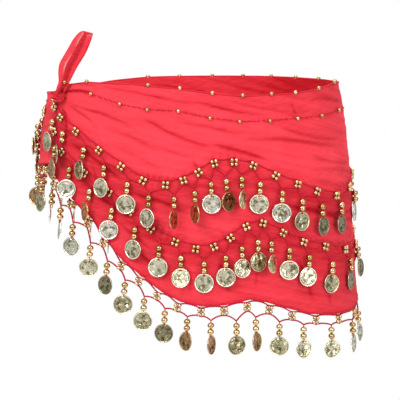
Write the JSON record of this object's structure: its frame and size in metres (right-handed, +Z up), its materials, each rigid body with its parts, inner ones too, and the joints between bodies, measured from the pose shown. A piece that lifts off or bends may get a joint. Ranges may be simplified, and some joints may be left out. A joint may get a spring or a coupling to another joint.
{
  "type": "belly dance hip scarf",
  "caption": "Chiffon hip scarf worn wound round the hips and tied at one side, with beaded rows of coins and a crochet coin fringe along its hem.",
  "frame": {"origin": "centre of the hip loop at the level of its top edge, where the wearer's hips hold it", "axes": "+X to the viewer's right as the scarf is seen from the front, +Y away from the viewer, +Z up along the wearer"},
  "size_m": [0.3549, 0.2668, 0.3386],
  "materials": {
    "chiffon": "soft sheer weave",
    "tied_chiffon": "soft sheer weave in double layers",
    "coin_trim": "worn pale gold"
  },
  "bodies": {
    "root": {"wrap": "chiffon", "knot": "tied_chiffon", "tied_end": "tied_chiffon", "coin_row_upper": "coin_trim", "coin_row_lower": "coin_trim", "hem_fringe": "coin_trim"}
  },
  "joints": []
}
